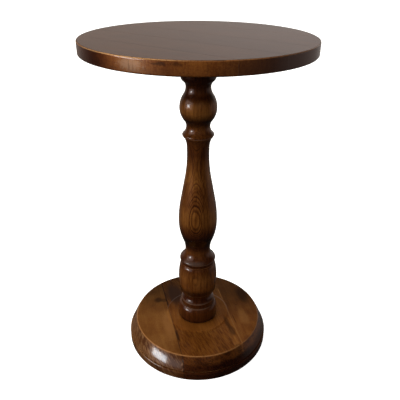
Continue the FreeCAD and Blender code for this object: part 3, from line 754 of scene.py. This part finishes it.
def column_stain_and_shade(finish, timber):
    """The column's wood, darkened by level with stain and painted shade.

    Its rings are clearest from the vase to the bead.
    """
    value = (
        timber.bands.sharper(1.5) * 0.35 + timber.streaks.sharper(1.9) * 0.60
        + timber.mottle * 0.15 + finish.fine() * 0.2 + 0.14
    )
    wood = finish.ramp(value, *STAINED_WOOD)
    clear = (finish.z.rise(*RINGS_CLEAR) * 0.6 + 0.4) * finish.z.rise(*RINGS_FADE)
    wood = finish.tint(timber.ring_lines() * clear, wood, COLUMN_LATE_WOOD)
    # Stain and painted shade by level
    return finish.tint(1.0, wood, finish.shades(finish.z, 0.0, TABLE_HEIGHT, *COLUMN_STAIN_AND_SHADES))


def column_wear_shade_and_light(finish, wood):
    """Wood with painted shade in crevices and corners worn lighter.

    The arrises get wear and painted highlights and reflections, and the ring's front a painted sheen.
    """
    open_corner = finish.corner(CORNER_WEAR) * finish.crevice(CORNER_CLEARANCE).rise(0.45, 0.1)
    wood = finish.mix(open_corner * 0.5, wood, WORN_CORNER)
    # Painted shade in crevices
    dark = finish.crevice(COLUMN_CREVICE_SHADE_REACH).rise(0.18, 0.7)
    wood = finish.mix(dark * 0.9, wood, COLUMN_CREVICE_SHADE)
    front_left = finish.turn.rise(*ARRIS_LIGHTS_BEGIN) * 0.75 + 0.25
    # Wear and painted highlights and reflections on the arrises, stronger to the front left
    for level, reach, strength, colour in COLUMN_ARRIS_LIGHTS:
        wood = finish.mix(finish.z.near(level, reach) * front_left * strength, wood, colour)
    # Painted sheen on the ring's front
    level, reach, strength, colour = RING_SHEEN
    front = finish.turn.rise(*SHEEN_BEGINS) * finish.turn.rise(*SHEEN_ENDS)
    return finish.mix(finish.z.near(level, reach) * front * strength, wood, colour)


def column_wood():
    finish = Finish("column_wood_varnished")
    axes = (finish.x, finish.z, finish.y)
    timber = Timber(finish, axes, COLUMN_PITH, COLUMN_RING_WIDTH, COLUMN_RING_CLIMB, COLUMN_SEED)
    wood = column_wear_shade_and_light(finish, column_stain_and_shade(finish, timber))
    varnish_wood(finish, timber, wood, COLUMN_VARNISH, timber.blotches)
    return finish.material


# Pieces that hardly show

HIDDEN_PITH = (0.02, -0.08)
HIDDEN_RING_WIDTH = 0.003
HIDDEN_RING_CLIMB = 0.02
HIDDEN_SEED = 7.0
# Light and dark colour
BLOCK_STAIN = (0.110, 0.045, 0.014), (0.040, 0.014, 0.004)
BARE_BEECH = (0.56, 0.38, 0.22), (0.34, 0.20, 0.10)
ZINC = (0.55, 0.54, 0.50), (0.30, 0.29, 0.26)


def hidden_wood(name, light, dark):
    """Plain wood without varnish."""
    finish = Finish(name)
    axes = (finish.y, finish.x, finish.z)
    timber = Timber(finish, axes, HIDDEN_PITH, HIDDEN_RING_WIDTH, HIDDEN_RING_CLIMB, HIDDEN_SEED)
    value = timber.bands * 0.4 + timber.streaks * 0.5 - timber.rings * 0.2
    finish.set(Base_Color=finish.ramp(value, (0.2, dark), (0.75, light)), Roughness=0.6)
    finish.emboss(timber.fibres + timber.streaks, 0.0003, 0.0003)
    return finish.material


def zinc_steel(name, light, dark):
    """Zinc plated steel with a faint spangle."""
    finish = Finish(name)
    grain = finish.noise(finish.place, 600.0, 3.0, 0.6)
    spangle = finish.noise(finish.place, 90.0, 2.0)
    colour = finish.ramp(spangle * 0.6 + grain * 0.4, (0.3, dark), (0.7, light))
    finish.set(Base_Color=colour, Metallic=1.0, Roughness=0.28 + grain * 0.2)
    finish.emboss(grain, 0.00008, 0.0002)
    return finish.material


def dress(node, material):
    """Give a node its material in all of its slots."""
    mesh = frame["nodes"][node].data
    mesh.materials.clear()
    mesh.materials.append(material)


def dress_table():
    for name, (pith, tone, seed) in TOP_BOARDS.items():
        dress(name, top_board(name, pith, tone, seed))
    for name, look in BASE_BOARDS.items():
        dress(name, base_board(name, look))
    dress("column", column_wood())
    dress("mounting_block", hidden_wood("block_stain", *BLOCK_STAIN))
    beech = hidden_wood("bare_beech", *BARE_BEECH)
    for name in ("base_dowels", "top_dowels", "tenon_wedge"):
        dress(name, beech)
    steel = zinc_steel("zinc_plated_steel", *ZINC)
    for name in ("coach_screw", "coach_screw_washer", "block_screws"):
        dress(name, steel)


# Light

LIGHT_DISTANCE = 6.0
COOL, NEUTRAL, WARM = (0.88, 0.95, 1.0), (1.0, 0.97, 0.97), (1.0, 0.965, 0.90)
# Lights that are only mirrored: azimuth, elevation, width and height in degrees, radiance, colour, and
# the nodes that mirror them
MIRRORED_LIGHTS = {
    "window_on_column": (-117, 8, 15, 11, 11.0, COOL, ("column",)),
    "window_on_base": (-121, -6, 24, 12, 15.0, COOL, tuple(BASE_BOARDS)),
    "window_on_top": (-125, 12, 18, 26, 17.0, COOL, tuple(TOP_BOARDS)),
    "wall_on_column": (-118, 15, 50, 40, 0.8, NEUTRAL, ("column",)),
    "wall_on_base": (-130, -6, 54, 16, 0.9, NEUTRAL, tuple(BASE_BOARDS)),
}
# Lights that are never mirrored, and light dull surfaces: the same without the nodes
DULL_LIGHTS = {
    "key": (-118, 18, 34, 34, 5.0, WARM),
    "front": (175, 20, 40, 34, 2.4, WARM),
    "left_above": (-95, 45, 40, 34, 4.4, WARM),
    "right_above": (100, 45, 40, 34, 1.2, WARM),
    "back_above": (-10, 52, 40, 34, 4.6, WARM),
}
DARK_ROOM = (0.015, 0.013, 0.012)
LEFT_WALL, RIGHT_WALL = (0.335, 0.275, 0.240), (0.415, 0.365, 0.340)
DIM_SIDE = (0.30, 0.235, 0.21)


def direction(azimuth, elevation):
    azimuth, elevation = math.radians(azimuth), math.radians(elevation)
    level = math.cos(elevation)
    return Vector((math.sin(azimuth) * level, math.cos(azimuth) * level, math.sin(elevation)))


def light_size(degrees):
    """How wide a light is that looks so many degrees wide from the middle of the table."""
    return 2 * LIGHT_DISTANCE * math.tan(math.radians(degrees / 2))


def soft_light(name, azimuth, elevation, width, height, radiance, colour, mirrored_in=()):
    """A flat light, given by how wide and high it looks from the middle of the table, in degrees."""
    middle = Vector((0, 0, TABLE_HEIGHT / 2))
    lamp = bpy.data.lights.new(name, "AREA")
    lamp.shape = "RECTANGLE"
    lamp.size = light_size(width)
    lamp.size_y = light_size(height)
    lamp.energy = radiance * math.pi * lamp.size * lamp.size_y
    lamp.color = colour
    light = bpy.data.objects.new(name, lamp)
    light.location = middle + direction(azimuth, elevation) * LIGHT_DISTANCE
    light.rotation_euler = direction(azimuth, elevation).to_track_quat("Z", "Y").to_euler()
    light.visible_camera = False
    light.visible_glossy = bool(mirrored_in)
    light.visible_diffuse = not mirrored_in
    bpy.context.scene.collection.objects.link(light)
    if mirrored_in:
        reach = bpy.data.collections.new(f"{name}_reach")
        for node in mirrored_in:
            reach.objects.link(frame["nodes"][node])
        light.light_linking.receiver_collection = reach


def light_room():
    for name, settings in (*MIRRORED_LIGHTS.items(), *DULL_LIGHTS.items()):
        soft_light(name, *settings)


def light_world():
    """A dim room: a grey wall behind the table, a dim right side, and dark elsewhere."""
    world = bpy.data.worlds.new("room")
    world.use_nodes = True
    bpy.context.scene.world = world
    shade = Shade(world.node_tree)
    aim = Field(shade, shade.add("ShaderNodeTexCoord").outputs["Generated"])
    x, y, z = shade.split(aim)
    lower_wall = z.rise(-0.55, 0.02) * 0.8 + z.rise(-0.95, -0.45) * 0.2
    wall = y.rise(0.25, 0.95) * z.rise(0.62, 0.25) * lower_wall
    side = x.rise(0.5, 0.9) * y.rise(-0.45, 0.0) * z.rise(0.35, 0.0) * z.rise(-0.6, -0.05)
    room = shade.mix(wall, DARK_ROOM, shade.mix(x.rise(-0.25, 0.25), LEFT_WALL, RIGHT_WALL))
    room = shade.mix(side * 0.9, room, DIM_SIDE)
    shade.feed(world.node_tree.nodes["Background"].inputs["Color"], room)


# Floor

FLOOR_RADIUS = 5.0
BACKDROP_BEND = 2.0
BACKDROP_HEIGHT = 9.0
FLOOR_SIDES = 96
BEND_STEPS = 12
FLOOR_COLOUR = (0.72, 0.72, 0.72, 1.0)
FLOOR_ROUGHNESS = 0.9
FLOOR_GLOW = 0.93
WHITE = (1.0, 1.0, 1.0, 1.0)


def backdrop_outline():
    """(radius, level) from the middle of the floor out, round the bend and up the wall."""
    points = [(0.0, 0.0), (FLOOR_RADIUS, 0.0)]
    for step in range(1, BEND_STEPS + 1):
        angle = math.pi / 2 * step / BEND_STEPS
        out, up = BACKDROP_BEND * math.sin(angle), BACKDROP_BEND * (1 - math.cos(angle))
        points.append((FLOOR_RADIUS + out, up))
    points.append((FLOOR_RADIUS + BACKDROP_BEND, BACKDROP_HEIGHT))
    return points


def backdrop_mesh():
    mesh = bpy.data.meshes.new("floor")
    shape = bmesh.new()
    outline = [shape.verts.new((radius, 0, level)) for radius, level in backdrop_outline()]
    edges = [shape.edges.new(pair) for pair in zip(outline, outline[1:])]
    bmesh.ops.spin(
        shape, geom=[*outline, *edges], cent=(0, 0, 0), axis=(0, 0, 1), angle=math.tau,
        steps=FLOOR_SIDES, use_merge=True,
    )
    bmesh.ops.remove_doubles(shape, verts=shape.verts, dist=1e-5)
    for face in shape.faces:
        face.smooth = True
    bmesh.ops.recalc_face_normals(shape, faces=shape.faces)
    shape.to_mesh(mesh)
    shape.free()
    return mesh


def floor_paint():
    material = bpy.data.materials.new("pale_floor")
    material.use_nodes = True
    surface = material.node_tree.nodes["Principled BSDF"]
    surface.inputs["Base Color"].default_value = FLOOR_COLOUR
    surface.inputs["Roughness"].default_value = FLOOR_ROUGHNESS
    surface.inputs["Specular IOR Level"].default_value = 0.0
    surface.inputs["Emission Color"].default_value = WHITE
    surface.inputs["Emission Strength"].default_value = FLOOR_GLOW
    return material


def build_floor():
    """Pale round floor that bends up into a wall, so that every view has the same plain background."""
    mesh = backdrop_mesh()
    mesh.materials.append(floor_paint())
    floor = bpy.data.objects.new("floor", mesh)
    bpy.context.scene.collection.objects.link(floor)
    for unseen in ("visible_diffuse", "visible_glossy", "visible_transmission", "visible_shadow"):
        setattr(floor, unseen, False)


# Camera and scene


def place_camera():
    camera = bpy.data.cameras.new("camera")
    camera.sensor_width = SENSOR_WIDTH
    camera.lens = FOCAL_PIXELS / FRAME_PIXELS * SENSOR_WIDTH
    forward = Vector((
        math.sin(CAMERA_YAW) * math.cos(CAMERA_PITCH),
        math.cos(CAMERA_YAW) * math.cos(CAMERA_PITCH),
        -math.sin(CAMERA_PITCH),
    ))
    level = Vector((math.cos(CAMERA_YAW), -math.sin(CAMERA_YAW), 0))
    below = forward.cross(level)
    right = level * math.cos(CAMERA_ROLL) + below * math.sin(CAMERA_ROLL)
    up = level * math.sin(CAMERA_ROLL) - below * math.cos(CAMERA_ROLL)
    aim = Matrix((right, up, -forward)).transposed().to_4x4()
    viewer = bpy.data.objects.new("camera", camera)
    viewer.matrix_world = Matrix.Translation(CAMERA_PLACE) @ aim
    bpy.context.scene.collection.objects.link(viewer)
    bpy.context.scene.camera = viewer


def clear_start_scene():
    """Take away the things that a new file starts with."""
    for thing in list(bpy.context.scene.collection.all_objects):
        if not thing.name.startswith("body:") and thing.name not in frame["nodes"]:
            bpy.data.objects.remove(thing)


clear_start_scene()
bpy.context.scene.view_settings.view_transform = "Standard"
dress_table()
light_world()
light_room()
build_floor()
place_camera()
